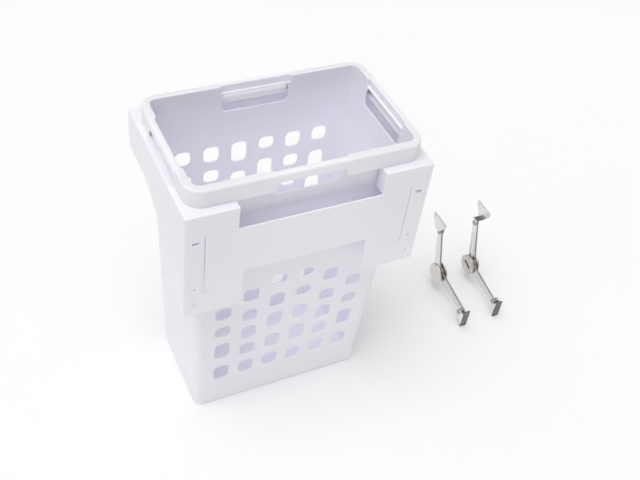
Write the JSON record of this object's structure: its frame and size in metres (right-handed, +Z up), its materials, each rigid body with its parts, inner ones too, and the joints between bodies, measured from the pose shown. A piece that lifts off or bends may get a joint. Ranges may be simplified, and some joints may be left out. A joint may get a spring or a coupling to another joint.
{
  "type": "pull-out laundry basket",
  "caption": "Tall perforated laundry basket that hangs by its rim in a carrier screwed behind a cabinet front, with a handed pair of friction stays.",
  "frame": {"origin": "centre of the front plate, on the face that is screwed to the cabinet front", "axes": "+X along the plate towards the stays, +Y back into the cabinet, +Z up"},
  "size_m": [0.7066, 0.265, 0.551],
  "materials": {
    "carrier_plastic": "fine satin moulding",
    "basket_plastic": "fine satin moulding",
    "arm_steel": "satin nickel plate",
    "cap_steel": "satin nickel plate",
    "rivet_steel": "bright nickel plate",
    "bracket_steel": "dark nickel plate",
    "washer_plastic": "plain"
  },
  "bodies": {
    "carrier": {"carrier_frame": "carrier_plastic", "left_stay_foot_bracket": "bracket_steel", "left_stay_foot_rivet": "rivet_steel", "right_stay_foot_bracket": "bracket_steel", "right_stay_foot_rivet": "rivet_steel"},
    "basket": {"basket": "basket_plastic"},
    "left_stay_lower": {"left_stay_lower_arm": "arm_steel"},
    "left_stay_upper": {"left_stay_upper_arm": "arm_steel", "left_stay_brake_cap": "cap_steel", "left_stay_brake_stud": "rivet_steel", "left_stay_friction_washer": "washer_plastic", "left_stay_spring_washer": "rivet_steel"},
    "left_stay_knob": {"left_stay_brake_knob": "cap_steel"},
    "left_stay_bracket": {"left_stay_top_bracket": "bracket_steel", "left_stay_top_rivet": "rivet_steel"},
    "right_stay_lower": {"right_stay_lower_arm": "arm_steel"},
    "right_stay_upper": {"right_stay_upper_arm": "arm_steel", "right_stay_brake_cap": "cap_steel", "right_stay_brake_stud": "rivet_steel", "right_stay_friction_washer": "washer_plastic", "right_stay_spring_washer": "rivet_steel"},
    "right_stay_knob": {"right_stay_brake_knob": "cap_steel"},
    "right_stay_bracket": {"right_stay_top_bracket": "bracket_steel", "right_stay_top_rivet": "rivet_steel"}
  },
  "joints": [
    {"name": "basket_lift", "type": "slide", "parent": "carrier", "child": "basket", "axis": [0, 0, 1], "range_m": [0, 0.525]},
    {"name": "left_stay_foot_pivot", "type": "hinge", "parent": "carrier", "child": "left_stay_lower", "pos_m": [0.413, 0.05747, -0.3885], "axis": [1, 0, 0], "range_deg": [-88, 72]},
    {"name": "left_stay_hub", "type": "hinge", "parent": "left_stay_lower", "child": "left_stay_upper", "pos_m": [0.413, 0.1565, -0.37458], "axis": [-1, 0, 0], "range_deg": [-93, 65]},
    {"name": "left_stay_brake_turn", "type": "hinge", "parent": "left_stay_upper", "child": "left_stay_knob", "pos_m": [0.413, 0.1565, -0.37458], "axis": [1, 0, 0], "range_deg": [-90, 90]},
    {"name": "left_stay_top_pivot", "type": "hinge", "parent": "left_stay_upper", "child": "left_stay_bracket", "pos_m": [0.413, 0.18238, -0.27799], "axis": [1, 0, 0], "range_deg": [-90, 75]},
    {"name": "right_stay_foot_pivot", "type": "hinge", "parent": "carrier", "child": "right_stay_lower", "pos_m": [0.493, 0.05747, -0.3885], "axis": [1, 0, 0], "range_deg": [-88, 72]},
    {"name": "right_stay_hub", "type": "hinge", "parent": "right_stay_lower", "child": "right_stay_upper", "pos_m": [0.493, 0.1565, -0.37458], "axis": [-1, 0, 0], "range_deg": [-93, 65]},
    {"name": "right_stay_brake_turn", "type": "hinge", "parent": "right_stay_upper", "child": "right_stay_knob", "pos_m": [0.493, 0.1565, -0.37458], "axis": [1, 0, 0], "range_deg": [-90, 90]},
    {"name": "right_stay_top_pivot", "type": "hinge", "parent": "right_stay_upper", "child": "right_stay_bracket", "pos_m": [0.493, 0.18238, -0.27799], "axis": [1, 0, 0], "range_deg": [-90, 75]}
  ]
}
